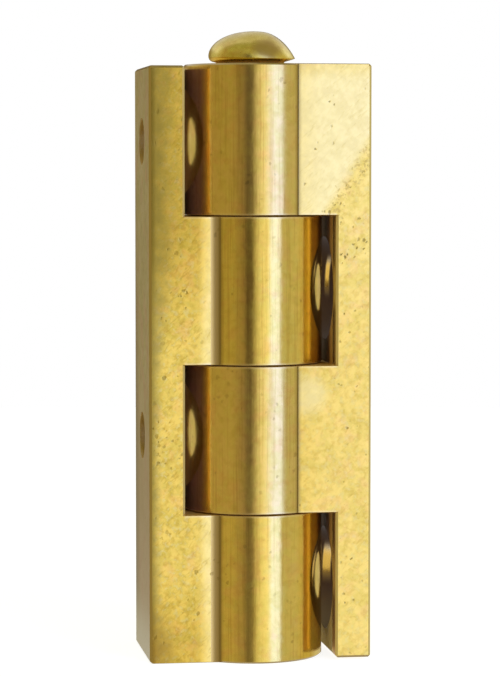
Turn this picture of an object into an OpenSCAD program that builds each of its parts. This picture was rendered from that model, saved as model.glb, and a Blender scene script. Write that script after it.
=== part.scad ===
// Solid brass cabinet hinge with a loose pin. Two machined leaves, folded
// together, each carry every second knuckle, and a dome-headed pin runs down
// through them all. Millimetres. The pin axis is Z, the fixed leaf is on the -X
// side, the knuckles show on the -Y side, and the origin is on the pin axis at
// the foot of the fixed leaf.

/* [Leaves] */
// Height of each leaf along the pin
leaf_h = 50; // [36:1:100]
// Thickness of the leaf plates
leaf_t = 3; // [2:0.1:6]
// How far the swinging leaf's ends stand above those of the fixed leaf
leaf_step = 0.2; // [0:0.05:1]
// How far the back edges reach past the back of the knuckles
back_over = 0.8; // [0:0.1:12]
// Bevel along the edges of the leaf plates
plate_break = 0.2; // [0.05:0.05:0.5]

/* [Knuckles] */
// Outer diameter of the knuckles
knuckle_d = 11.8; // [10:0.1:18]
// Number of knuckles on the two leaves together
knuckle_n = 4; // [2:2:6]
// Room between a knuckle and the plate of the other leaf
knuckle_room = 0.45; // [0.2:0.05:1]
// End play between neighbouring knuckles
end_play = 0.1; // [0.1:0.05:0.5]
// How far the fixed leaf's flat edge lies behind the front of the knuckles
flat_step = 1.3; // [0.6:0.1:2.5]
// Width of the sloping strip between the fixed leaf's flat edge and its knuckles
strip_w = 0.85; // [0.3:0.05:1.5]
// Rise of that strip towards the knuckles
strip_rise = 0.26; // [0.1:0.02:0.5]
// How far the swinging leaf's flat edge lies behind the front of the knuckles
swing_step = 0.85; // [0.6:0.05:2.5]
// Bevel on the knuckle ends that face another knuckle
rim_break = 0.05; // [0.05:0.05:0.3]
// Bevel on the knuckle ends at the top and foot of the hinge
end_bevel = 0.15; // [0.1:0.05:0.8]

/* [Pin] */
// Diameter of the pin
pin_d = 5; // [3:0.1:6]
// Clearance between the pin and its bore, on the radius
pin_fit = 0.05; // [0.01:0.01:0.1]
// Diameter of the domed head
head_d = 7.5; // [7:0.1:9]
// Height of the dome above its rim
dome_h = 2.3; // [1:0.1:3]
// Height of the rim's upright edge
rim_h = 0.2; // [0.1:0.05:0.5]
// Height of the slope from the shank out to the rim
slope_h = 0.3; // [0.2:0.05:0.8]
// Width of the flat seat under the head
seat_w = 0.4; // [0.3:0.05:0.5]
// Gap left under the head
seat_gap = 0.05; // [0.02:0.01:0.3]
// Height of the pin's end above the foot of the hinge
tip_up = 0.3; // [0:0.05:2]
// Bevel on the pin's end
tip_bevel = 0.6; // [0.2:0.1:1]

/* [Screw holes] */
// Diameter of the screw holes
screw_d = 4; // [3:0.1:5]
// Depth of the countersink on the inner face
sink_h = 2.4; // [0.4:0.1:2.6]

/* [Hidden] */
$fn = 96;
brass = [0.83, 0.66, 0.27];
pin_brass = [0.74, 0.63, 0.27];
cut = 1; // how far a cutter runs past the face it opens

knuckle_r = knuckle_d / 2;
inner_x = knuckle_r + knuckle_room;
outer_x = inner_x + leaf_t;
flat_y = knuckle_r - flat_step;
strip_y = flat_y + strip_rise;
swing_y = knuckle_r - swing_step;
back_y = knuckle_r + back_over;
pitch = leaf_h / knuckle_n;
bore_r = pin_d / 2 + pin_fit;
sink = min(sink_h, leaf_t - plate_break, (pitch - screw_d) / 2 - plate_break);
head_r = head_d / 2;
head_z = leaf_h + leaf_step + seat_gap;
strip_x = sqrt(pow(knuckle_r, 2) - pow(strip_y, 2));

// Rectangle with one corner at the origin and all four corners cut off by e
module cut_rect(w, h, e) {
    polygon([[e, 0], [w - e, 0], [w, e], [w, h - e], [w - e, h], [e, h], [0, h - e], [0, e]]);
}

// Block with one corner at the origin and all twelve edges bevelled by e
module eased_block(size, e) {
    intersection() {
        linear_extrude(size.z)
            cut_rect(size.x, size.y, e);
        translate([0, size.y, 0])
            rotate([90, 0, 0])
                linear_extrude(size.y)
                    cut_rect(size.x, size.z, e);
        rotate([90, 0, 90])
            linear_extrude(size.x)
                cut_rect(size.y, size.z, e);
    }
}

// Round barrel of height h with its lower and upper rims bevelled
module barrel(h, low_e, high_e) {
    rotate_extrude()
        polygon([
            [0, 0], [knuckle_r - low_e, 0], [knuckle_r, low_e],
            [knuckle_r, h - high_e], [knuckle_r - high_e, h], [0, h]
        ]);
}

// Sloping strip that fills the corner between a flat edge at y and the barrel, on the -X side
module strip(y, h) {
    linear_extrude(h)
        polygon([[-strip_x - strip_w, -y], [-strip_x, -strip_y], [0, 0]]);
}

// One knuckle from z0 to z1, with the web to its plate, whose flat edge is at y
module knuckle(y, z0, z1, low_e, high_e) {
    h = z1 - z0;
    web_x = outer_x - plate_break;
    translate([0, 0, z0]) {
        barrel(h, low_e, high_e);
        translate([-web_x, -y, 0])
            eased_block([web_x, 2 * y, h], rim_break);
        if (y < strip_y)
            for (side = [0, 1])
                mirror([0, side, 0])
                    translate([0, 0, rim_break])
                        strip(y, h - 2 * rim_break);
    }
}

// Countersunk screw hole through the plate at y and z, opened from the inner face
module screw_hole(y, z) {
    translate([-inner_x, y, z])
        rotate([0, -90, 0]) {
            cylinder(d = screw_d, h = leaf_t + cut);
            cylinder(r1 = screw_d / 2 + sink, r2 = screw_d / 2, h = sink);
            translate([0, 0, -cut])
                cylinder(r = screw_d / 2 + sink, h = cut);
        }
}

// Pin bore through the whole hinge, eased at the top and at the foot
module pin_bore() {
    top = leaf_h + leaf_step;
    translate([0, 0, -cut])
        cylinder(r = bore_r, h = top + 2 * cut);
    for (end = [[0, 0], [top, 180]])
        translate([0, 0, end[0]])
            rotate([end[1], 0, 0])
                cylinder(r1 = bore_r + rim_break, r2 = bore_r, h = rim_break);
}

// Leaf on the -X side, its foot at z0 and its flat edge at y, whose lowest knuckle is number first
module leaf(first, z0, y) {
    difference() {
        union() {
            translate([-outer_x, -y, z0])
                eased_block([leaf_t, y + back_y, leaf_h], plate_break);
            for (i = [first : 2 : knuckle_n - 1]) {
                at_foot = i == 0;
                at_top = i == knuckle_n - 1;
                knuckle(
                    y,
                    at_foot ? z0 : i * pitch + end_play / 2,
                    at_top ? z0 + leaf_h : (i + 1) * pitch - end_play / 2,
                    at_foot ? end_bevel : rim_break,
                    at_top ? end_bevel : rim_break
                );
            }
        }
        pin_bore();
        for (i = [1 - first : 2 : knuckle_n - 1])
            screw_hole((back_y - y) / 2, (i + 0.5) * pitch);
    }
}

module fixed_leaf() {
    color(brass)
        leaf(0, 0, flat_y);
}

module swing_leaf() {
    color(brass)
        mirror([1, 0, 0])
            leaf(1, leaf_step, swing_y);
}

// Turned pin: straight shank with a bevelled end, sloped under-head and domed top
module hinge_pin() {
    pin_r = pin_d / 2;
    rim_z = slope_h + rim_h;
    dome_r = (pow(head_r, 2) + pow(dome_h, 2)) / (2 * dome_h);
    color(pin_brass)
        translate([0, 0, head_z])
            rotate_extrude()
                union() {
                    polygon([
                        [0, tip_up - head_z], [pin_r - tip_bevel, tip_up - head_z],
                        [pin_r, tip_up - head_z + tip_bevel], [pin_r, 0],
                        [pin_r + seat_w, 0], [head_r, slope_h], [head_r, rim_z], [0, rim_z]
                    ]);
                    intersection() {
                        translate([0, rim_z + dome_h - dome_r])
                            circle(dome_r);
                        translate([0, rim_z])
                            square([head_r, dome_h]);
                    }
                }
}

fixed_leaf();
swing_leaf();
hinge_pin();
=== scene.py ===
from math import pi, radians

import bpy
import numpy as np
from mathutils import Euler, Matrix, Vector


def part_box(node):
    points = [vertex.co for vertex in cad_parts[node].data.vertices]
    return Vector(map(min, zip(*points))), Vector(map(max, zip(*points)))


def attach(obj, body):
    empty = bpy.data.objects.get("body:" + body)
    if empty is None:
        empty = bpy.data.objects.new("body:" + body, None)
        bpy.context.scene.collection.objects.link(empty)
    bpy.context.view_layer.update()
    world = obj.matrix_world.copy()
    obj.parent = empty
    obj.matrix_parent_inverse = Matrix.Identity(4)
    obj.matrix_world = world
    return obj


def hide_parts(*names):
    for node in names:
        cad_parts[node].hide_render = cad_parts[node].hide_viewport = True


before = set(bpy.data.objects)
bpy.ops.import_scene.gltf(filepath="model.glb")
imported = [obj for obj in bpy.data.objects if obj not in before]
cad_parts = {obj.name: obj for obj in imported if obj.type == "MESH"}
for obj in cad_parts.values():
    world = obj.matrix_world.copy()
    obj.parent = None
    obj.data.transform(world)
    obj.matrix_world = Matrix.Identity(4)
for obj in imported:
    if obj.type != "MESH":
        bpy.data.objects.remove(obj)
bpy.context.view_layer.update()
scene = bpy.context.scene
scene.view_settings.view_transform = "Standard"
mm = 0.001
print("hinge loaded:", ", ".join(sorted(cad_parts)))


# helpers for meshes and nodes

def makeObject(name, verts, faces, material):
    mesh = bpy.data.meshes.new(name)
    mesh.from_pydata(verts.tolist(), [], faces)
    mesh.polygons.foreach_set("use_smooth", np.ones(len(mesh.polygons), bool))
    mesh.update()
    piece = bpy.data.objects.new(name, mesh)
    scene.collection.objects.link(piece)
    mesh.materials.append(material)
    return piece


def put(tree, kind, inputs=None, **settings):
    node = tree.nodes.new(kind)
    for key, value in settings.items():
        setattr(node, key, value)
    for key, value in (inputs or {}).items():
        feed(tree, node.inputs[key], value)
    return node


def feed(tree, socket, value):
    if isinstance(value, bpy.types.NodeSocket):
        tree.links.new(value, socket)
    else:
        socket.default_value = value


def calc(tree, operation, *values):
    node = put(tree, "ShaderNodeMath", operation=operation)
    for index, value in enumerate(values):
        feed(tree, node.inputs[index], value)
    return node.outputs[0]


def ease(tree, value, low, high, toLow=0.0, toHigh=1.0):  # smooth step from low to high, clamped
    return put(tree, "ShaderNodeMapRange", {
        "Value": value, "From Min": low, "From Max": high, "To Min": toLow, "To Max": toHigh,
    }, interpolation_type="SMOOTHSTEP").outputs["Result"]


def spanOf(tree, spec):  # easing between two limits that the spec gives under one name
    def span(value, name, toLow=0.0, toHigh=1.0):
        return ease(tree, value, *spec[name], toLow, toHigh)

    return span


def mixColor(tree, share, first, second, mode="MIX"):
    node = put(tree, "ShaderNodeMix", data_type="RGBA", blend_type=mode)
    for index, value in ((0, share), (6, first), (7, second)):
        feed(tree, node.inputs[index], value)
    return node.outputs[2]


def mixValue(tree, share, first, second):
    node = put(tree, "ShaderNodeMix", data_type="FLOAT")
    for index, value in ((0, share), (2, first), (3, second)):
        feed(tree, node.inputs[index], value)
    return node.outputs[0]


def stretched(tree, position, scale, turn=(0, 0, 0), place=(0, 0, 0)):  # turned and scaled copy
    turned = put(tree, "ShaderNodeMapping", {"Vector": position, "Rotation": turn, "Location": place})
    return put(tree, "ShaderNodeMapping", {"Vector": turned.outputs[0], "Scale": scale}).outputs[0]


def noise(tree, position, scale, detail=2.0, rough=0.5, warp=0.0):
    return put(tree, "ShaderNodeTexNoise", {
        "Vector": position, "Scale": scale, "Detail": detail, "Roughness": rough, "Distortion": warp,
    }).outputs[0]


def newGroup(name, inputs, outputs):
    tree = bpy.data.node_groups.new(name, "ShaderNodeTree")
    for socketName, kind, value in inputs:
        socket = tree.interface.new_socket(name=socketName, in_out="INPUT", socket_type=kind)
        if value is not None:
            socket.default_value = value
    for socketName, kind in outputs:
        tree.interface.new_socket(name=socketName, in_out="OUTPUT", socket_type=kind)
    return tree, tree.nodes.new("NodeGroupInput").outputs, tree.nodes.new("NodeGroupOutput")


def useGroup(tree, group, **inputs):
    node = tree.nodes.new("ShaderNodeGroup")
    node.node_tree = group
    for key, value in inputs.items():
        feed(tree, node.inputs[key], value)
    return node.outputs


# camera at the photograph's place, no shift, depth of field off
cameraSpec = {"place": (-35.06, -241.16, 41.70), "yaw": 8.221, "pitch": -3.458, "lens": 152.2}
cameraData = bpy.data.cameras.new("camera")
cameraData.sensor_width = 36.0
cameraData.lens = cameraSpec["lens"]
cameraData.clip_start = 0.01
cameraData.clip_end = 10.0
camera = bpy.data.objects.new("camera", cameraData)
camera.location = np.array(cameraSpec["place"]) * mm
camera.rotation_euler = Euler((radians(90 + cameraSpec["pitch"]), 0, radians(-cameraSpec["yaw"])))
scene.collection.objects.link(camera)
scene.camera = camera
print("camera placed")

# soft studio light: an upright room of plain panels, given by the angle from straight in front
# of the knuckles (right is positive): warm walls, a dark gap round the camera, a cool window
roomLight = {
    "panels": (
        # angle, red, green and blue level
        (-180, 0.21, 0.15, 0.06),
        (-175, 0.28, 0.20, 0.07),
        (-150, 0.34, 0.27, 0.12),
        (-140, 0.62, 0.57, 0.38),
        (-115, 0.66, 0.62, 0.42),
        (-105, 0.55, 0.46, 0.22),
        (-90, 0.47, 0.37, 0.15),
        (-75, 0.40, 0.32, 0.11),
        (-40, 0.41, 0.34, 0.12),
        (-33, 0.34, 0.27, 0.11),
        (-22, 0.28, 0.22, 0.11),
        (-18, 0.11, 0.09, 0.05),
        (-9, 0.11, 0.09, 0.05),
        (-4, 0.47, 0.44, 0.26),
        (3, 0.89, 0.86, 0.62),
        (14, 1.13, 1.14, 0.94),
        (20, 1.15, 1.30, 1.90),
        (25, 1.20, 1.48, 3.00),
        (39, 1.20, 1.48, 3.00),
        (43, 0.57, 0.55, 0.34),
        (70, 0.62, 0.59, 0.38),
        (80, 0.62, 0.53, 0.26),
        (100, 0.66, 0.55, 0.21),
        (115, 0.62, 0.57, 0.38),
        (145, 0.60, 0.55, 0.36),
        (153, 0.24, 0.18, 0.08),
        (165, 0.11, 0.08, 0.04),
        (180, 0.21, 0.15, 0.06),
    ),
    "peak": 3.0,
    "ceiling": (0.50, 0.48, 0.20),
    "ceilingFrom": 30.0, "ceilingFull": 55.0,  # elevation in degrees
    "backFrom": 110.0, "backFull": 125.0,  # the white background stands beyond this angle
    "boardFrom": 12.0, "boardFull": 22.0,  # and above this elevation
    "sheetFrom": -9.0, "sheetFull": -12.0,  # and below this one, as the pale floor runs back
    "glow": (0.10, 0.09, 0.06), "glowFrom": -2.0, "glowFull": -8.5,  # off the floor
    "glowFront": (0.3, -0.1), "glowLeft": (0.45, -0.15),  # only from the front and from the left
}


def makeWorld(spec):
    world = bpy.data.worlds.new("studio")
    scene.world = world
    world.use_nodes = True
    tree = world.node_tree
    tree.nodes.clear()
    split = put(tree, "ShaderNodeSeparateXYZ", {0: put(tree, "ShaderNodeTexCoord").outputs["Generated"]})
    x, y, z = split.outputs
    around = calc(tree, "ARCTAN2", x, calc(tree, "MULTIPLY", y, -1.0))
    ramp = put(tree, "ShaderNodeValToRGB", {0: calc(tree, "MULTIPLY_ADD", around, 0.5 / pi, 0.5)})
    stops = ramp.color_ramp.elements
    for panel in spec["panels"][1:-1]:
        stops.new((panel[0] + 180) / 360)
    for stop, panel in zip(stops, spec["panels"]):
        stop.position = (panel[0] + 180) / 360
        stop.color = (*(np.array(panel[1:]) / spec["peak"]), 1.0)
    height = calc(tree, "ARCSINE", z)
    overhead = ease(tree, height, radians(spec["ceilingFrom"]), radians(spec["ceilingFull"]))
    ceiling = (*(np.array(spec["ceiling"]) / spec["peak"]), 1.0)
    room = mixColor(tree, overhead, ramp.outputs[0], ceiling)
    glow = (*(np.array(spec["glow"]) / spec["peak"]), 1.0)
    low = ease(tree, height, radians(spec["glowFrom"]), radians(spec["glowFull"]))
    low = calc(tree, "MULTIPLY", low, ease(tree, y, *spec["glowFront"]))
    low = calc(tree, "MULTIPLY", low, ease(tree, x, *spec["glowLeft"]))
    room = mixColor(tree, low, room, glow, "ADD")
    roomShade = put(tree, "ShaderNodeBackground", {"Color": room, "Strength": spec["peak"]})
    whiteShade = put(tree, "ShaderNodeBackground", {"Color": (1, 1, 1, 1), "Strength": 1.0})
    turned = calc(tree, "ABSOLUTE", around)
    behind = ease(tree, turned, radians(spec["backFrom"]), radians(spec["backFull"]))
    above = ease(tree, height, radians(spec["boardFrom"]), radians(spec["boardFull"]))
    below = ease(tree, height, radians(spec["sheetFrom"]), radians(spec["sheetFull"]))
    board = calc(tree, "MULTIPLY", behind, calc(tree, "MAXIMUM", above, below))
    rays = put(tree, "ShaderNodeLightPath").outputs
    mirrored = calc(tree, "MAXIMUM", rays["Is Glossy Ray"], rays["Is Transmission Ray"])
    white = calc(tree, "MAXIMUM", rays["Is Camera Ray"], calc(tree, "MULTIPLY", mirrored, board))
    either = put(tree, "ShaderNodeMixShader", {0: white, 1: roomShade.outputs[0], 2: whiteShade.outputs[0]})
    put(tree, "ShaderNodeOutputWorld", {"Surface": either.outputs[0]})


makeWorld(roomLight)
print("studio light set")

# pale floor under the foot; it takes the hinge's soft shadow and is lifted to white for the camera
floorSpec = {"radius": 250.0, "rings": 6, "sides": 64, "colour": (0.42, 0.47, 0.66, 1.0), "lift": 0.86}


def makeFloor(spec):
    material = bpy.data.materials.new("paleFloor")
    material.use_nodes = True
    tree = material.node_tree
    tree.nodes.clear()
    rays = put(tree, "ShaderNodeLightPath").outputs
    matt = put(tree, "ShaderNodeBsdfDiffuse", {"Color": spec["colour"]})
    lift = put(tree, "ShaderNodeEmission", {
        "Strength": calc(tree, "MULTIPLY", rays["Is Camera Ray"], spec["lift"]),
    })
    both = put(tree, "ShaderNodeAddShader", {0: matt.outputs[0], 1: lift.outputs[0]})
    put(tree, "ShaderNodeOutputMaterial", {"Surface": both.outputs[0]})
    # flat disc: rings of points round the origin, reach as the square of the ring's number
    ring, turn = np.meshgrid(np.arange(1, spec["rings"] + 1), np.arange(spec["sides"]), indexing="ij")
    reach = spec["radius"] * mm * (ring / spec["rings"]) ** 2
    angle = turn * 2 * pi / spec["sides"]
    verts = np.stack([reach * np.cos(angle), reach * np.sin(angle), 0 * reach], -1).reshape(-1, 3)
    verts = np.vstack([verts, [[0, 0, 0]]])
    inner = (np.arange(spec["rings"] - 1)[:, None] * spec["sides"] + np.arange(spec["sides"])).ravel()
    beside = inner - inner % spec["sides"] + (inner + 1) % spec["sides"]
    quads = np.stack([inner, inner + spec["sides"], beside + spec["sides"], beside], -1).tolist()
    hub = len(verts) - 1
    fan = [[hub, i, (i + 1) % spec["sides"]] for i in range(spec["sides"])]
    floor = makeObject("floor", verts, quads + fan, material)
    floor.visible_glossy = False


makeFloor(floorSpec)
print("floor laid")


# shared brass effects; all places are in millimetres
knuckleHeight = 12.5  # from joint to joint
holeY = 0.94  # screw holes, between the places that the two leaves have
zoneSpan = {
    # places
    "front": (-4.30, -4.50), "offRound": (5.91, 5.95), "holeRim": (4.50, 4.60), "clearOfHole": (6.3, 6.2),
    "aboveFoot": (0.8, 1.2), "belowTop": (49.2, 48.8), "outerPlace": (9.2, 9.3),
    "innerBelow": (6.5, 6.4), "innerAbove": (6.2, 6.3), "edgeIn": (7.6, 7.2), "edgeOut": (8.9, 9.1),
    "line": (0.40, 0.0), "core": (0.13, 0.04), "lineFront": (-4.55, -4.70),
    "wear": (0.32, 0.08), "wearSide": (6.5, 6.3),
    # directions, 1 for a face that looks that way
    "corner": (0.5, 0.6), "stripAbove": (0.10, 0.20), "stripBelow": (0.55, 0.45), "flat": (0.96, 0.99),
    "outer": (0.9, 0.97), "inner": (0.95, 0.99), "rim": (0.35, 0.5), "end": (0.4, 0.6),
    "sinkAbove": (0.5, 0.6), "sinkBelow": (0.85, 0.75), "bore": (0.4, 0.2),
}


def makeZones():  # which part of a leaf a point is on, from its place and its face's direction
    names = ("Strip", "Flat", "Outer", "Inner", "EdgeIn", "EdgeOut", "Rim", "End", "Sink", "Bore",
             "Line", "Core", "Wear", "FromHole")
    tree, given, result = newGroup("leafZones", [
        ("Position", "NodeSocketVector", None), ("Facing", "NodeSocketVector", None),
        ("Seam", "NodeSocketFloat", 3.3),
    ], [(name, "NodeSocketFloat") for name in names])
    span = spanOf(tree, zoneSpan)
    x, y, z = put(tree, "ShaderNodeSeparateXYZ", {0: given["Position"]}).outputs
    facing = put(tree, "ShaderNodeVectorMath", {0: given["Facing"]}, operation="ABSOLUTE").outputs[0]
    toSide, toFront, toEnd = put(tree, "ShaderNodeSeparateXYZ", {0: facing}).outputs

    def both(*masks):
        mask = masks[0]
        for other in masks[1:]:
            mask = calc(tree, "MULTIPLY", mask, other)
        return mask

    def length(a, b):
        square = calc(tree, "MULTIPLY_ADD", a, a, calc(tree, "MULTIPLY", b, b))
        return calc(tree, "SQRT", square)

    side = calc(tree, "ABSOLUTE", x)
    front = span(y, "front")
    off = span(length(x, y), "offRound")  # off the round of the knuckle
    corner = span(calc(tree, "MINIMUM", toSide, toFront), "corner")
    fromJoint = calc(tree, "PINGPONG", z, knuckleHeight / 2)  # height from the nearest joint of knuckles
    upFromHole = calc(tree, "SUBTRACT", fromJoint, knuckleHeight / 2)
    fromHole = length(calc(tree, "SUBTRACT", y, holeY), upFromHole)
    solid = calc(tree, "MAXIMUM", span(fromHole, "holeRim"), span(side, "clearOfHole"))
    hole = calc(tree, "SUBTRACT", 1.0, solid)
    within = both(span(z, "aboveFoot"), span(z, "belowTop"))
    level = calc(tree, "MINIMUM", toEnd, calc(tree, "MAXIMUM", toSide, toFront))
    aside = calc(tree, "ABSOLUTE", calc(tree, "SUBTRACT", x, given["Seam"]))
    masks = {
        "Strip": both(off, span(toSide, "stripAbove"), span(toSide, "stripBelow")),
        "Flat": both(off, front, span(toFront, "flat")),
        "Outer": both(span(side, "outerPlace"), span(toSide, "outer")),
        "Inner": both(span(side, "innerBelow"), span(side, "innerAbove"), span(toSide, "inner")),
        "EdgeIn": both(off, solid, corner, span(side, "edgeIn")),
        "EdgeOut": both(solid, corner, span(side, "edgeOut")),
        "Rim": both(span(level, "rim"), calc(tree, "SUBTRACT", 1.0, within)),
        "End": both(within, solid, span(toEnd, "end")),
        "Sink": both(hole, span(toSide, "sinkAbove"), span(toSide, "sinkBelow")),
        "Bore": both(hole, span(toSide, "bore")),
        "Line": both(span(aside, "line"), span(y, "lineFront")),
        "Core": both(span(aside, "core"), span(y, "lineFront")),
        "Wear": both(within, span(fromJoint, "wear"), span(side, "wearSide")),
        "FromHole": fromHole,
    }
    for name, mask in masks.items():
        feed(tree, result.inputs[name], mask)
    return tree


toneForm = {
    "shift": (11.0, 5.0, 23.0), "olive": (0.40, 0.60), "rosy": (0.50, 0.68),
    "deep": (0.58, 0.30), "deepTone": (0.70, 0.62, 0.40, 1),
    "pale": (0.52, 0.70), "paleTone": (1.0, 0.86, 0.42, 1), "paleShare": 0.5,
}


def makeTone():  # colour drifting between three tones in soft patches, with a fine light and dark grain
    tree, given, result = newGroup("brassTone", [
        ("Position", "NodeSocketVector", None), ("Tone", "NodeSocketColor", (0.8, 0.6, 0.2, 1)),
        ("Olive", "NodeSocketColor", (0.6, 0.5, 0.1, 1)), ("Rosy", "NodeSocketColor", (0.8, 0.5, 0.2, 1)),
        ("Patch", "NodeSocketFloat", 0.3), ("Mottle", "NodeSocketFloat", 1.5),
        ("Amount", "NodeSocketFloat", 0.5), ("Grain", "NodeSocketFloat", 0.2),
    ], [("Color", "NodeSocketColor"), ("Value", "NodeSocketFloat")])
    span = spanOf(tree, toneForm)
    moved = stretched(tree, given["Position"], (1, 1, 1), place=toneForm["shift"])
    wide = noise(tree, given["Position"], given["Patch"], 2.0, 0.55, 0.4)
    fine = noise(tree, given["Position"], given["Mottle"], 2.0, 0.55, 0.3)
    speck = noise(tree, moved, given["Mottle"], 2.0, 0.55, 0.3)
    olive = span(calc(tree, "MULTIPLY_ADD", wide, 0.5, calc(tree, "MULTIPLY", speck, 0.5)), "olive")
    rosy = span(noise(tree, moved, given["Patch"], 3.0, 0.6, 0.3), "rosy")
    color = mixColor(tree, calc(tree, "MULTIPLY", olive, given["Amount"]), given["Tone"], given["Olive"])
    color = mixColor(tree, calc(tree, "MULTIPLY", rosy, given["Amount"]), color, given["Rosy"])
    deep = calc(tree, "MULTIPLY", span(fine, "deep"), given["Grain"])
    pale = calc(tree, "MULTIPLY", span(speck, "pale", 0.0, toneForm["paleShare"]), given["Grain"])
    color = mixColor(tree, deep, color, toneForm["deepTone"], "MULTIPLY")
    color = mixColor(tree, pale, color, toneForm["paleTone"])
    feed(tree, result.inputs["Color"], color)
    feed(tree, result.inputs["Value"], olive)
    return tree


sandForm = {
    "rising": (0.45, 3, 5.5), "risingTurn": radians(38), "risingShare": 0.6,
    "steep": (0.6, 3, 6.0), "steepTurn": radians(62), "steepShare": 0.4, "steepPlace": (7, 0, 3),
    "grain": 2.4, "grainShare": 0.5,
}


def makeSanding():  # two crossing sets of sanding strokes in the plane of the flats, over a fine grain
    tree, given, result = newGroup("sandingMarks", [
        ("Position", "NodeSocketVector", None),
    ], [("Height", "NodeSocketFloat"), ("Stroke", "NodeSocketFloat")])
    place, form = given["Position"], sandForm
    rising = stretched(tree, place, form["rising"], (0, form["risingTurn"], 0))
    steep = stretched(tree, place, form["steep"], (0, form["steepTurn"], 0), form["steepPlace"])
    rising = calc(tree, "MULTIPLY", noise(tree, rising, 1.0, 3.0, 0.6), form["risingShare"])
    strokes = calc(tree, "MULTIPLY_ADD", noise(tree, steep, 1.0, 2.0, 0.6), form["steepShare"], rising)
    feed(tree, result.inputs["Stroke"], strokes)
    grain = calc(tree, "MULTIPLY", noise(tree, place, form["grain"], 3.0, 0.65), form["grainShare"])
    height = calc(tree, "MULTIPLY_ADD", strokes, 1 - form["grainShare"], grain)
    feed(tree, result.inputs["Height"], height)
    return tree


pitForm = {
    "shakeScale": 3.5, "shake": (0.3, 0.3, 0.3), "stretch": (0.85, 1.0, 1.1), "turn": radians(60),
    "patchScale": 0.22, "patch": (0.42, 0.66), "leastShare": 0.3, "moreShare": 1.4, "choice": (0.0, 0.02),
    "leastSize": 0.19, "moreSize": 0.20, "edge": (-0.09, 0.14), "leastDepth": 0.4, "moreDepth": 0.6,
}


def makePits():  # pits on some cells of a scatter, a little drawn out along the sanding, of differing sizes
    tree, given, result = newGroup("pitSpecks", [
        ("Position", "NodeSocketVector", None), ("Spacing", "NodeSocketFloat", 0.6),
        ("Share", "NodeSocketFloat", 0.2),
    ], [("Mask", "NodeSocketFloat")])
    span, form = spanOf(tree, pitForm), pitForm
    warp = put(tree, "ShaderNodeTexNoise", {
        "Vector": given["Position"], "Scale": form["shakeScale"], "Detail": 1.0,
    })
    shaken = put(tree, "ShaderNodeVectorMath", {
        0: warp.outputs["Color"], 1: form["shake"], 2: given["Position"],
    }, operation="MULTIPLY_ADD").outputs[0]
    drawn = stretched(tree, shaken, form["stretch"], (0, form["turn"], 0))
    cells = put(tree, "ShaderNodeTexVoronoi", {
        "Vector": drawn, "Scale": calc(tree, "DIVIDE", 1.0, given["Spacing"]), "Randomness": 1.0,
    }).outputs
    draw = put(tree, "ShaderNodeSeparateColor", {0: cells["Color"]}).outputs
    patch = span(noise(tree, given["Position"], form["patchScale"], 2.0, 0.6), "patch")
    patch = calc(tree, "MULTIPLY_ADD", patch, form["moreShare"], form["leastShare"])
    share = calc(tree, "MULTIPLY", given["Share"], patch)
    chosen = span(calc(tree, "SUBTRACT", draw[0], calc(tree, "SUBTRACT", 1.0, share)), "choice")
    size = calc(tree, "POWER", draw[1], 2.0)  # few are large
    size = calc(tree, "MULTIPLY_ADD", size, form["moreSize"], form["leastSize"])
    spot = span(calc(tree, "SUBTRACT", size, cells["Distance"]), "edge")
    depth = calc(tree, "MULTIPLY_ADD", draw[2], form["moreDepth"], form["leastDepth"])
    feed(tree, result.inputs["Mask"], calc(tree, "MULTIPLY", depth, calc(tree, "MULTIPLY", chosen, spot)))
    return tree


rippleForm = {
    "swell": (1.0, 1.0, 0.55), "swellShare": 0.7, "ripple": (2.6, 2.6, 1.3), "drawn": (4.5, 4.5, 0.10),
}


def makeRipple():  # slow swells and fine ripples of a hand-polished round, drawn out along the pin
    tree, given, result = newGroup("polishRipple", [
        ("Position", "NodeSocketVector", None),
    ], [("Height", "NodeSocketFloat"), ("Streak", "NodeSocketFloat")])
    place, form = given["Position"], rippleForm
    swell = noise(tree, stretched(tree, place, form["swell"]), 1.0, 2.0, 0.5)
    ripple = noise(tree, stretched(tree, place, form["ripple"]), 1.0, 3.0, 0.6)
    drawn = noise(tree, stretched(tree, place, form["drawn"]), 1.0, 2.0, 0.6)
    feed(tree, result.inputs["Streak"], drawn)
    ripple = calc(tree, "MULTIPLY", ripple, 1 - form["swellShare"])
    feed(tree, result.inputs["Height"], calc(tree, "MULTIPLY_ADD", swell, form["swellShare"], ripple))
    return tree


# heights where the tilt changes; each border's start, the way it falls and its width
tiltForm = {
    "low": (0.5, 9.0), "high": (25.0, 38.0),
    "borders": {"Outer": (9.35, -1.0, 0.6), "Inner": (4.2, 1.0, 1.0)},
}


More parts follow.
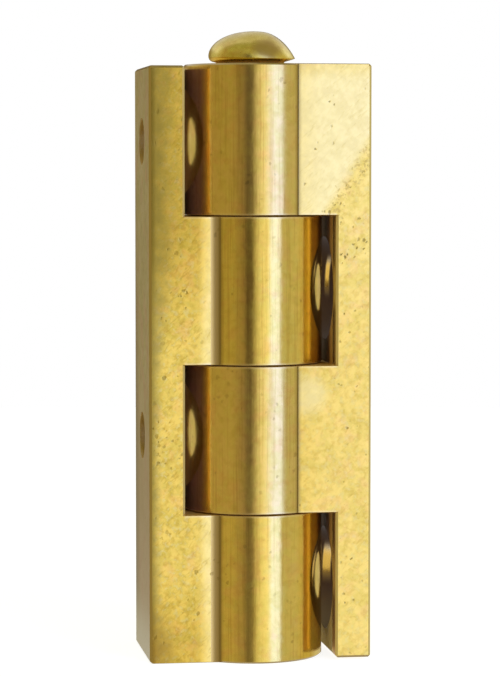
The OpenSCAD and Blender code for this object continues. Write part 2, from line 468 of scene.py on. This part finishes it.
def makeTilt():  # hand-worked flat: a tilt to the right that changes along the height, with rounded borders
    tree, given, result = newGroup("flatTilt", [
        ("Position", "NodeSocketVector", None), ("Pivot", "NodeSocketFloat", 0.0),
        ("Foot", "NodeSocketFloat", 0.0), ("Middle", "NodeSocketFloat", 0.0),
        ("Top", "NodeSocketFloat", 0.0), ("Outer", "NodeSocketFloat", 0.1),
        ("Inner", "NodeSocketFloat", 0.1),
    ], [("Height", "NodeSocketFloat")])
    split = put(tree, "ShaderNodeSeparateXYZ", {0: given["Position"]}).outputs
    x, z = split[0], split[2]
    side = calc(tree, "ABSOLUTE", x)
    span = spanOf(tree, tiltForm)
    slope = mixValue(tree, span(z, "low"), given["Foot"], given["Middle"])
    slope = mixValue(tree, span(z, "high"), slope, given["Top"])
    height = calc(tree, "MULTIPLY", slope, calc(tree, "SUBTRACT", given["Pivot"], x))
    for name, (start, turn, width) in tiltForm["borders"].items():
        inset = calc(tree, "MULTIPLY", calc(tree, "SUBTRACT", side, start), turn / width)
        fall = calc(tree, "POWER", calc(tree, "MAXIMUM", calc(tree, "SUBTRACT", 1.0, inset), 0.0), 2.0)
        drop = calc(tree, "MULTIPLY", fall, calc(tree, "MULTIPLY", given[name], width / 2))
        height = calc(tree, "SUBTRACT", height, drop)
    feed(tree, result.inputs["Height"], height)
    return tree


leafZones, brassTone, sandingMarks = makeZones(), makeTone(), makeSanding()
pitSpecks, polishRipple, flatTilt = makePits(), makeRipple(), makeTilt()
print("brass effects made")

# leaf brass: polished knuckles, sanded flats, dull outer faces, inner faces dark with painted shade
leafFinish = {
    "brightOlive": (0.75, 0.61, 0.14, 1), "brightRosy": (0.86, 0.53, 0.20, 1),
    "dull": (0.68, 0.61, 0.42, 1), "dullOlive": (0.56, 0.52, 0.28, 1), "dullRosy": (0.66, 0.50, 0.36, 1),
    # the outer face's foot tone is a painted reflection of the pale floor
    "dullFoot": (0.74, 0.71, 0.58, 1), "strip": (0.86, 0.65, 0.32, 1),
    # inner faces: painted shade, darkest deep in the gap, with painted light at the foot
    "inner": (0.34, 0.20, 0.22, 1), "innerDeep": (0.17, 0.105, 0.11, 1), "innerFoot": (0.92, 0.86, 0.66, 1),
    "rim": (0.36, 0.26, 0.10, 1), "bore": (0.72, 0.52, 0.18, 1), "boreRough": 0.5, "stripRough": 0.34,
    # the outer face's back tone is painted shade
    "dullBack": (0.36, 0.31, 0.22, 1), "dullLow": (0.58, 0.45, 0.33, 1),
    # the end-face colour here is painted shade: the knuckle end faces in the gaps between knuckles are
    # darker and duller
    "pit": (0.26, 0.17, 0.03, 1), "grimeAndGapShade": (0.70, 0.46, 0.14, 1), "seam": (0.34, 0.24, 0.08, 1),
    "border": (0.40, 0.30, 0.07, 1),  # painted shade: brown along the outer edge of a flat
    "stroke": (0.72, 0.66, 0.46, 1),  # darkens the flats along the sanding strokes
    "streak": (0.66, 0.56, 0.42, 1), "streakShare": 0.32,  # darkens the knuckles along the drawn bar
    "wear": (1.0, 0.86, 0.56, 1), "wearShare": 0.38, "wearRough": 0.30,  # worn rims of the knuckles
    "borderFoot": (0.46, 0.29, 0.06, 1), "freckle": (0.62, 0.42, 0.10, 1),
    "sinkLit": (0.92, 0.76, 0.50, 1), "litReach": 3.45,  # painted light: a bright arc, this far from the hole's axis
    "outerRough": 0.40, "innerRough": 0.6, "grimeAndGapShadeRough": 0.8, "edgeRough": 0.65, "edgeOutRough": 0.32,
    "flatRough": 0.30, "flatSpread": 0.08, "knuckleSpread": 0.04, "gapShadeDull": 0.3, "specular": 0.15,
    # patch, mottle, amount and grain of a tone
    "brightGrain": (0.6, 1.4, 0.45, 0.25), "dullGrain": (0.3, 1.2, 0.8, 0.4),
    "unevenScale": 1.1, "unevenReach": 0.8, "freckleScale": 2.6, "pitSpacing": 0.5,
    "patchY": -5.0, "patchCore": 0.3, "sinkFootShare": 0.3, "pitOnKnuckle": 0.4, "seamShare": 0.6,
    "dullLowShare": 0.6, "dullBackShare": 0.85, "dullFootShare": 0.9,
    # levels of noise where an effect starts and is full
    "streakSpan": (0.52, 0.34), "strokeSpan": (0.47, 0.34), "freckleSpan": (0.50, 0.66),
    # places and heights where an effect starts and is full
    "footSpan": (6.0, 1.0), "insideTop": (50.0, 48.6), "pitReach": (1.6, 0.6), "freckleReach": (2.0, 0.5),
    "borderHigh": (22.0, 36.0), "borderEdge": 9.25, "innerSpan": (-2.4, -1.2), "deepSpan": (-2.2, 0.8),
    "wornSpan": (-3.5, -4.5), "wornHigh": (13.0, 25.0), "litAbove": (-1.2, 0.4), "litBelow": (3.1, 1.7),
    "litLow": (24.0, 12.0), "litWidths": (0.08, 0.24), "litFade": (0.16, 0.0),
    "backSpan": (2.5, 6.5), "backLow": (46.0, 24.0), "dullLowSpan": (26.0, 14.0),
    "stripBend": 3.65, "stripCurve": 0.31,
    "shineWave": (0.5, 2.0), "darkWave": (-0.4, 1.2),  # start and width across the knuckle
    "sandDepth": 0.008, "rippleDepth": 0.012, "pitDepth": 0.010,  # millimetres
}
fixedFinish = {
    "name": "fixedLeafBrass", "shift": (0, 0, 0), "seamX": -3.45, "knuckleRough": 0.13,
    "bright": (0.90, 0.665, 0.20, 1), "flatten": -0.013, "dim": 0.009,
    # pale inner front bevel: partly wear, partly a painted highlight
    "edgeIn": (1.0, 0.86, 0.44, 1), "edge": (0.52, 0.40, 0.17, 1), "strokeShare": 0.55,
    "flatGrain": (0.7, 2.2, 0.8, 0.55),
    "flat": (0.92, 0.64, 0.13, 1), "flatOlive": (0.80, 0.58, 0.09, 1), "flatRosy": (0.92, 0.58, 0.14, 1),
    "flatInside": (1.0, 0.71, 0.18, 1), "insideFrom": 5.8, "insideFull": 4.4, "insideShare": 0.6,
    "acrossX": 0.0, "acrossSide": 1.0, "acrossZ": 0.0, "patch": (0.0, 0.0, 0.1), "patchShare": 0.0,
    "freckleShare": 0.0,
    "pitPatch": (-7.8, 18.5, 3.0),
    "borderWidth": 1.1, "borderTop": 1.8, "borderShare": 0.92,
    "innerFrom": -4.5, "innerFull": -2.8,  # how far in the inner face turns dark
    "wornTop": (0.90, 0.665, 0.20, 1), "wornLow": (0.90, 0.665, 0.20, 1), "wornRough": 0.13,
    "innerFront": (0.34, 0.20, 0.22, 1), "sink": (0.36, 0.23, 0.15, 1), "litShare": 0.0,
    "pitShare": 0.16, "pitMore": 0.0, "pitThick": 1.4, "pitAmount": 0.65,
    "tilt": {"Pivot": -6.5, "Foot": -0.02, "Middle": 0.06, "Top": -0.05, "Outer": 0.12, "Inner": 0.17},
}
swingFinish = {
    "name": "swingLeafBrass", "shift": (31, 17, 53), "seamX": 3.10, "knuckleRough": 0.17,
    "bright": (0.86, 0.63, 0.24, 1), "flatten": 0.015, "dim": 0.0,
    # pale inner front bevel: partly wear, partly a painted highlight
    "edgeIn": (1.0, 0.88, 0.52, 1), "edge": (0.80, 0.72, 0.46, 1), "strokeShare": 0.3,
    "flatGrain": (0.7, 2.2, 0.8, 0.4),
    "flat": (0.97, 0.69, 0.17, 1), "flatOlive": (0.90, 0.66, 0.13, 1), "flatRosy": (0.97, 0.64, 0.18, 1),
    "flatInside": (1.0, 0.80, 0.32, 1), "insideFrom": -28.0, "insideFull": -30.2, "insideShare": 0.85,
    "acrossX": 1.6, "acrossSide": 0.0, "acrossZ": -1.0, "patch": (3.8, 22.5, 2.4), "patchShare": 0.8,
    "freckleShare": 0.75,
    "pitPatch": (7.9, 35.2, 3.0),
    "borderWidth": 0.1, "borderTop": 0.0, "borderShare": 0.5,
    "innerFrom": -3.7, "innerFull": -3.0,
    "wornTop": (1.0, 0.86, 0.48, 1), "wornLow": (0.80, 0.55, 0.34, 1), "wornRough": 0.42,
    "innerFront": (0.85, 0.58, 0.27, 1), "sink": (0.18, 0.115, 0.10, 1), "litShare": 1.0,
    "pitShare": 0.20, "pitMore": 2.8, "pitThick": 3.0, "pitAmount": 0.9,
    "tilt": {"Pivot": 6.5, "Foot": 0.05, "Middle": 0.05, "Top": 0.09, "Outer": 0.02, "Inner": 0.02},
}


def places(tree):  # Object coordinates in millimetres, and the direction the face looks in
    raw = put(tree, "ShaderNodeTexCoord").outputs
    place = put(tree, "ShaderNodeVectorMath", {0: raw["Object"], "Scale": 1000.0}, operation="SCALE")
    return place.outputs[0], raw["Normal"]


def startMaterial(name):
    material = bpy.data.materials.new(name)
    material.use_nodes = True
    material.node_tree.nodes.clear()
    return material, material.node_tree


def tones(tree, position, spec, kind):  # tone of one kind of surface
    patch, mottle, amount, grain = spec[kind + "Grain"]
    return useGroup(tree, brassTone, Position=position, Tone=spec[kind], Olive=spec[kind + "Olive"],
                    Rosy=spec[kind + "Rosy"], Patch=patch, Mottle=mottle, Amount=amount, Grain=grain)


def makeLeafBrass(own):
    spec = {**leafFinish, **own}
    material, tree = startMaterial(spec["name"])
    span = spanOf(tree, spec)
    place, facing = places(tree)
    moved = put(tree, "ShaderNodeVectorMath", {0: place, 1: spec["shift"]}, operation="ADD").outputs[0]
    x, y, z = put(tree, "ShaderNodeSeparateXYZ", {0: place}).outputs
    side = calc(tree, "ABSOLUTE", x)
    foot = span(z, "footSpan")
    zones = useGroup(tree, leafZones, Position=place, Facing=facing, Seam=spec["seamX"])

    def near(atX, atZ, reach):  # soft round patch on a flat
        middle = (atX, spec["patchY"], atZ)
        off = put(tree, "ShaderNodeVectorMath", {0: place, 1: middle}, operation="DISTANCE")
        return ease(tree, off.outputs["Value"], reach, spec["patchCore"] * reach)

    def blend(mask, share):
        return calc(tree, "MULTIPLY", mask, share)

    polished, sanded = tones(tree, moved, spec, "bright"), tones(tree, moved, spec, "flat")
    dull = tones(tree, moved, spec, "dull")
    sanding = useGroup(tree, sandingMarks, Position=moved)
    ripple = useGroup(tree, polishRipple, Position=moved)
    lean = useGroup(tree, flatTilt, Position=place, **spec["tilt"])
    uneven = noise(tree, moved, spec["unevenScale"], 3.0, 0.6)
    streak = span(ripple["Streak"], "streakSpan", 0.0, spec["streakShare"])
    knuckle = mixColor(tree, streak, polished["Color"], spec["streak"], "MULTIPLY")
    # paler inside of the flat: towards the knuckles on the fixed leaf, above a slant on the swinging leaf
    across = calc(tree, "MULTIPLY_ADD", x, spec["acrossX"], blend(side, spec["acrossSide"]))
    across = calc(tree, "MULTIPLY_ADD", z, spec["acrossZ"], across)
    across = calc(tree, "SUBTRACT", across, spec["unevenReach"] / 2)
    across = calc(tree, "MULTIPLY_ADD", uneven, spec["unevenReach"], across)
    inside = blend(ease(tree, across, spec["insideFrom"], spec["insideFull"]), spec["insideShare"])
    inside = calc(tree, "MULTIPLY", inside, span(z, "insideTop", 0.5, 1.0))
    inside = calc(tree, "MAXIMUM", inside, blend(near(*spec["patch"]), spec["patchShare"]))
    # more specks along the border of the paler part, and in one patch
    offSlant = calc(tree, "ABSOLUTE", calc(tree, "SUBTRACT", across, spec["insideFrom"]))
    pitShare = calc(tree, "MULTIPLY_ADD", span(offSlant, "pitReach"), spec["pitMore"], spec["pitShare"])
    pitShare = calc(tree, "MULTIPLY_ADD", near(*spec["pitPatch"]), spec["pitThick"], pitShare)
    pits = useGroup(tree, pitSpecks, Position=moved, Spacing=spec["pitSpacing"], Share=pitShare)
    flat = mixColor(tree, inside, sanded["Color"], spec["flatInside"])
    stroke = span(sanding["Stroke"], "strokeSpan", 0.0, spec["strokeShare"])
    flat = mixColor(tree, stroke, flat, spec["stroke"], "MULTIPLY")
    freckle = noise(tree, moved, spec["freckleScale"], 2.0, 0.65)
    freckle = span(freckle, "freckleSpan", 0.0, spec["freckleShare"])
    freckle = calc(tree, "MULTIPLY", freckle, span(offSlant, "freckleReach"))
    flat = mixColor(tree, freckle, flat, spec["freckle"])
    # painted shade: brown border along the outer edge, wider towards the top and the foot
    wider = calc(tree, "MAXIMUM", span(z, "borderHigh"), foot)
    width = calc(tree, "MULTIPLY_ADD", wider, spec["borderTop"], spec["borderWidth"])
    inset = calc(tree, "DIVIDE", calc(tree, "SUBTRACT", spec["borderEdge"], side), width)
    inset = calc(tree, "SUBTRACT", calc(tree, "ADD", inset, 0.5), uneven)
    borderTone = mixColor(tree, foot, spec["border"], spec["borderFoot"])
    flat = mixColor(tree, blend(ease(tree, inset, 1.0, 0.0), spec["borderShare"]), flat, borderTone)
    # inner face: worn along the front; behind it painted shade, lighter near the front and darkest deep in
    # the gap, and painted light at the foot
    inner = blend(zones["Inner"], ease(tree, y, spec["innerFrom"], spec["innerFull"]))
    innerTone = mixColor(tree, span(y, "innerSpan"), spec["innerFront"], spec["inner"])
    innerTone = mixColor(tree, span(y, "deepSpan"), innerTone, spec["innerDeep"])
    innerTone = mixColor(tree, foot, innerTone, spec["innerFoot"])
    worn = calc(tree, "MULTIPLY", zones["Inner"], span(y, "wornSpan"))
    wornTone = mixColor(tree, span(z, "wornHigh"), spec["wornLow"], spec["wornTop"])
    # countersink: painted shade, dark, with an arc of painted light on the swinging leaf, wider round its
    # lowest hole, and painted light at the foot
    sink = mixColor(tree, blend(foot, spec["sinkFootShare"]), spec["sink"], spec["innerFoot"])
    overHole = calc(tree, "FRACT", calc(tree, "DIVIDE", z, knuckleHeight))
    overHole = calc(tree, "MULTIPLY_ADD", overHole, knuckleHeight, -knuckleHeight / 2)
    lit = calc(tree, "MULTIPLY", span(overHole, "litAbove"), span(overHole, "litBelow"))
    offArc = calc(tree, "ABSOLUTE", calc(tree, "SUBTRACT", zones["FromHole"], spec["litReach"]))
    offArc = calc(tree, "SUBTRACT", offArc, span(z, "litLow", *spec["litWidths"]))
    lit = calc(tree, "MULTIPLY", lit, span(offArc, "litFade"))
    lit = calc(tree, "MULTIPLY", blend(lit, spec["litShare"]), zones["Sink"])
    sink = mixColor(tree, lit, sink, spec["sinkLit"])
    # outer face: rosier lower down, painted shade towards the back, and at the foot a painted reflection of
    # the pale floor
    lower = span(z, "dullLowSpan", 0.0, spec["dullLowShare"])
    back = calc(tree, "MULTIPLY", span(y, "backSpan"), span(z, "backLow"))
    outer = mixColor(tree, lower, dull["Color"], spec["dullLow"])
    outer = mixColor(tree, blend(back, spec["dullBackShare"]), outer, spec["dullBack"])
    outer = mixColor(tree, blend(foot, spec["dullFootShare"]), outer, spec["dullFoot"])
    pitted = mixValue(tree, zones["Flat"], spec["pitOnKnuckle"], spec["pitAmount"])
    color = knuckle
    for mask, tone in (
        (zones["Flat"], flat), (zones["Outer"], outer), (zones["Strip"], spec["strip"]),
        (blend(pits["Mask"], pitted), spec["pit"]), (zones["EdgeIn"], spec["edgeIn"]),
        (zones["EdgeOut"], spec["edge"]), (zones["Rim"], spec["rim"]), (zones["Bore"], spec["bore"]),
        (blend(zones["Wear"], spec["wearShare"]), spec["wear"]),
        (blend(zones["Line"], spec["seamShare"]), spec["seam"]),
        (blend(zones["Core"], spec["seamShare"]), spec["seam"]),
        # painted shade on the inner faces, in the countersinks and on the knuckle end faces in the gaps
        (worn, wornTone), (inner, innerTone), (zones["Sink"], sink), (zones["End"], spec["grimeAndGapShade"]),
    ):
        color = mixColor(tree, mask, color, tone)
    # painted shade in the countersinks and on the inner faces is matt, not metal
    dark = calc(tree, "SUBTRACT", calc(tree, "MAXIMUM", zones["Sink"], inner), lit)
    rough = calc(tree, "MULTIPLY_ADD", polished["Value"], spec["knuckleSpread"], spec["knuckleRough"])
    sandRough = calc(tree, "MULTIPLY_ADD", sanded["Value"], spec["flatSpread"], spec["flatRough"])
    for mask, value in (
        (zones["Flat"], sandRough), (zones["Outer"], spec["outerRough"]),
        (zones["Strip"], spec["stripRough"]), (zones["EdgeIn"], spec["edgeRough"]),
        (zones["EdgeOut"], spec["edgeOutRough"]), (worn, spec["wornRough"]),
        (zones["Wear"], spec["wearRough"]), (zones["Bore"], spec["boreRough"]),
        (dark, spec["innerRough"]), (zones["End"], spec["grimeAndGapShadeRough"]),
    ):
        rough = mixValue(tree, mask, rough, value)
    sandHeight = calc(tree, "MULTIPLY_ADD", sanding["Height"], spec["sandDepth"], lean["Height"])
    sandHeight = calc(tree, "SUBTRACT", sandHeight, blend(pits["Mask"], spec["pitDepth"]))
    # worn corner: the strip eases into the flat, as the square of the distance past its bend
    outOnStrip = calc(tree, "MAXIMUM", calc(tree, "SUBTRACT", side, spec["stripBend"]), 0.0)
    stripHeight = blend(calc(tree, "MULTIPLY", outOnStrip, outOnStrip), spec["stripCurve"])
    # knuckle a little flatter or rounder than true by its highlight and its dark band: half a cosine wave
    height = blend(ripple["Height"], spec["rippleDepth"])
    for (start, wide), depth in ((spec["shineWave"], spec["flatten"]), (spec["darkWave"], spec["dim"])):
        past = calc(tree, "SUBTRACT", x, start)
        past = put(tree, "ShaderNodeClamp", {"Value": past, "Max": wide}).outputs[0]
        wave = calc(tree, "SUBTRACT", 1.0, calc(tree, "COSINE", blend(past, pi / wide)))
        height = calc(tree, "MULTIPLY_ADD", wave, depth, height)
    for mask, value in ((zones["Flat"], sandHeight), (zones["Strip"], stripHeight)):
        height = mixValue(tree, mask, height, value)
    matt = calc(tree, "MAXIMUM", blend(zones["End"], spec["gapShadeDull"]), dark)
    bump = put(tree, "ShaderNodeBump", {"Height": height, "Distance": mm, "Strength": 1.0})
    metal = put(tree, "ShaderNodeBsdfPrincipled", {
        "Base Color": color, "Metallic": calc(tree, "SUBTRACT", 1.0, matt), "Roughness": rough,
        "Specular IOR Level": spec["specular"], "Normal": bump.outputs[0],
    })
    put(tree, "ShaderNodeOutputMaterial", {"Surface": metal.outputs[0]})
    return material


def dress(node, material):
    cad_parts[node].material_slots[0].material = material


dress("fixed_leaf", makeLeafBrass(fixedFinish))
dress("swing_leaf", makeLeafBrass(swingFinish))
print("leaves finished")

# loose pin: straight shank and a hand-formed domed head, blunt on the left and sharp on the right
pinFinish = {
    "head": (0.84, 0.70, 0.24, 1), "headOlive": (0.70, 0.58, 0.13, 1), "headRosy": (0.72, 0.50, 0.16, 1),
    "crown": (0.62, 0.57, 0.42, 1),  # painted shade: darkens the head towards its top
    # painted reflection: a brown crescent on the front of the dome, with rougher brass that hides the
    # highlight there
    "paintedReflection": (0.42, 0.28, 0.09, 1), "paintedReflectionPlace": (0.75, -2.6, 51.38), "paintedReflectionSize": (1.5, 3.0, 1.05),
    "paintedReflectionShare": 0.85, "paintedReflectionRough": 0.42,
    # painted light: a pale neck under the head, lifting the shade there
    "neck": (1.0, 0.78, 0.36, 1), "neckRough": 0.6,
    "grimeAndGapShade": (0.10, 0.06, 0.025, 1), "grimeAndGapShadeRough": 0.7, "rough": 0.22, "roughSpread": 0.08,
    "rippleDepth": 0.010, "headGrain": (0.6, 2.0, 0.7, 0.3),  # patch, mottle, amount and grain
    "paintedReflectionScale": 1.6, "paintedReflectionBreak": 0.5, "paintedReflectionEdge": (1.35, 0.75), "crownSpan": (51.0, 52.3),
    "neckBelow": (50.50, 50.40), "neckAbove": (50.1, 50.2),
    "grimeReach": (0.60, 0.05), "grimeBelow": (50.2, 49.5),  # dark rings where knuckles meet
    "grimeScale": 0.9, "grimeSpan": (0.34, 0.66), "grimeShares": (0.1, 0.75),
}
pinShape = {
    "shankRadius": 2.5, "tipBevel": 0.6, "seatZ": 50.25, "seatLeft": 0.28, "seatRight": 0.05,
    "headLeft": 3.75, "headRight": 3.60, "underLeft": 3.30, "underRight": 2.62,
    "rimLeft": 50.95, "rimRight": 50.78, "underZ": 50.46, "frontDrop": 0.17,
    "rightFullness": 2.9, "bluntness": 0.4, "sides": 160, "domeRings": 40, "rimRings": 9,
    "shankRings": (12.0, 25.0, 38.0), "close": 0.02, "step": 0.03, "apart": 0.3,  # rings beside a corner
    "dentFade": 6,  # power that keeps dents off the rim
    # dents: x, y, reach, depth
    "dents": (
        (0.9, -2.3, 0.9, 0.02), (-1.6, -1.5, 0.8, 0.05), (2.2, -0.8, 0.9, 0.06), (-0.2, 1.7, 1.1, 0.06),
    ),
}


def makePinBrass(spec):
    material, tree = startMaterial("pinBrass")
    span = spanOf(tree, spec)
    place = places(tree)[0]
    tone = tones(tree, place, spec, "head")
    ripple = useGroup(tree, polishRipple, Position=place)
    z = put(tree, "ShaderNodeSeparateXYZ", {0: place}).outputs[2]
    oil = span(calc(tree, "PINGPONG", z, knuckleHeight / 2), "grimeReach")
    oil = calc(tree, "MULTIPLY", oil, span(z, "grimeBelow"))
    patchy = noise(tree, place, spec["grimeScale"], 2.0, 0.6)
    oil = calc(tree, "MULTIPLY", oil, span(patchy, "grimeSpan", *spec["grimeShares"]))
    color = mixColor(tree, span(z, "crownSpan"), tone["Color"], spec["crown"], "MULTIPLY")
    # painted reflection: a brown crescent on the front of the dome
    off = put(tree, "ShaderNodeVectorMath", {0: place, 1: spec["paintedReflectionPlace"]}, operation="SUBTRACT")
    off = put(tree, "ShaderNodeVectorMath", {0: off.outputs[0], 1: spec["paintedReflectionSize"]}, operation="DIVIDE")
    off = put(tree, "ShaderNodeVectorMath", {0: off.outputs[0]}, operation="LENGTH").outputs["Value"]
    ragged = noise(tree, place, spec["paintedReflectionScale"], 2.0, 0.6)
    off = calc(tree, "MULTIPLY_ADD", ragged, spec["paintedReflectionBreak"], off)
    paintedReflection = span(off, "paintedReflectionEdge", 0.0, spec["paintedReflectionShare"])
    color = mixColor(tree, paintedReflection, color, spec["paintedReflection"])
    # painted light on the neck under the head
    neck = calc(tree, "MULTIPLY", span(z, "neckBelow"), span(z, "neckAbove"))
    color = mixColor(tree, neck, color, spec["neck"])
    height = calc(tree, "MULTIPLY", ripple["Height"], spec["rippleDepth"])
    bump = put(tree, "ShaderNodeBump", {"Height": height, "Distance": mm, "Strength": 1.0})
    rough = calc(tree, "MULTIPLY_ADD", tone["Value"], spec["roughSpread"], spec["rough"])
    for mask, value in ((neck, spec["neckRough"]), (paintedReflection, spec["paintedReflectionRough"]), (oil, spec["grimeAndGapShadeRough"])):
        rough = mixValue(tree, mask, rough, value)
    metal = put(tree, "ShaderNodeBsdfPrincipled", {
        "Base Color": mixColor(tree, oil, color, spec["grimeAndGapShade"]),
        "Metallic": calc(tree, "SUBTRACT", 1.0, oil), "Roughness": rough, "Normal": bump.outputs[0],
    })
    put(tree, "ShaderNodeOutputMaterial", {"Surface": metal.outputs[0]})
    return material


def makePin(spec, material):
    low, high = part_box("hinge_pin")
    tipZ, topZ = low.z / mm, high.z / mm
    angle = np.arange(spec["sides"]) * 2 * pi / spec["sides"]
    leftness = (0.5 - 0.5 * np.cos(angle))[None, :]  # 1 on the left (-x), 0 on the right
    blunt = leftness ** spec["bluntness"]
    front = np.maximum(-np.sin(angle), 0)[None, :]  # 1 at the front (-y)
    # shank: radius and height of each ring, with a pair of close rings at every corner
    r, bevel, seat = spec["shankRadius"], spec["tipBevel"], spec["seatZ"]
    close, step, apart = spec["close"], spec["step"], spec["apart"]
    shank = np.array([
        (r - bevel - apart, tipZ), (r - bevel - close, tipZ), (r - bevel + close, tipZ + close),
        (r - close, tipZ + bevel - close), (r, tipZ + bevel + step), (r, tipZ + bevel + apart),
        *[(r, ring) for ring in spec["shankRings"]], (r, seat - apart), (r, seat - step),
    ])
    ones = np.ones((1, spec["sides"]))
    neckR = r + spec["seatLeft"] * leftness + spec["seatRight"] * (1 - leftness)
    ringR = np.vstack([shank[:, :1] * ones, neckR - step, neckR])
    ringZ = np.vstack([shank[:, 1:] * ones, seat * ones, (seat + step) * ones])
    # rim: from the under edge out to the widest line, a quarter round on the left, straight on the right
    turn = np.linspace(0, pi / 2, spec["rimRings"])[:, None]
    underR = spec["underLeft"] * blunt + spec["underRight"] * (1 - blunt)
    rimZ = spec["rimLeft"] * leftness + spec["rimRight"] * (1 - leftness) - spec["frontDrop"] * front
    headR = spec["headLeft"] * leftness + spec["headRight"] * (1 - leftness)
    rimR = underR + (headR - underR) * np.sin(turn)
    rimUp = rimZ - (rimZ - spec["underZ"]) * (blunt * np.cos(turn) + (1 - blunt) * (1 - np.sin(turn)))
    # dome: radius goes with the sine; height is an ellipse on the left, a leaner curve on the right
    lift = np.linspace(pi / 2, 0, spec["domeRings"] + 1)[1:-1, None]
    domeR = headR * np.sin(lift)
    share = leftness * np.cos(lift) + (1 - leftness) * (1 - np.sin(lift) ** spec["rightFullness"])
    domeZ = rimZ + (topZ - rimZ) * share
    radius = np.vstack([ringR, rimR, domeR])
    height = np.vstack([ringZ, rimUp, domeZ])
    x, y = radius * np.cos(angle), radius * np.sin(angle)
    inDome = (np.arange(len(radius)) >= len(radius) - len(domeR))[:, None]
    for dentX, dentY, reach, depth in spec["dents"]:  # shallow hammer dents, bell shaped
        fade = 1 - (radius / headR) ** spec["dentFade"]
        bell = np.exp(-((x - dentX) ** 2 + (y - dentY) ** 2) / reach ** 2)
        height = height - inDome * depth * fade * bell
    verts = np.stack([x, y, height], -1).reshape(-1, 3)
    verts = np.vstack([verts, [[0, 0, tipZ], [0, 0, topZ]]]) * mm
    sides, rings = spec["sides"], len(radius)
    here = (np.arange(rings - 1)[:, None] * sides + np.arange(sides)).ravel()
    beside = here - here % sides + (here + 1) % sides
    quads = np.stack([here, beside, beside + sides, here + sides], -1)
    last = np.arange(sides)
    after = (last + 1) % sides
    foot = np.stack([np.full(sides, rings * sides), after, last], -1)
    top = (rings - 1) * sides
    crown = np.stack([np.full(sides, rings * sides + 1), last + top, after + top], -1)
    pin = makeObject("domed_pin", verts, quads.tolist() + foot.tolist() + crown.tolist(), material)
    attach(pin, "pin")
    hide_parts("hinge_pin")


makePin(pinShape, makePinBrass(pinFinish))
print("pin finished")
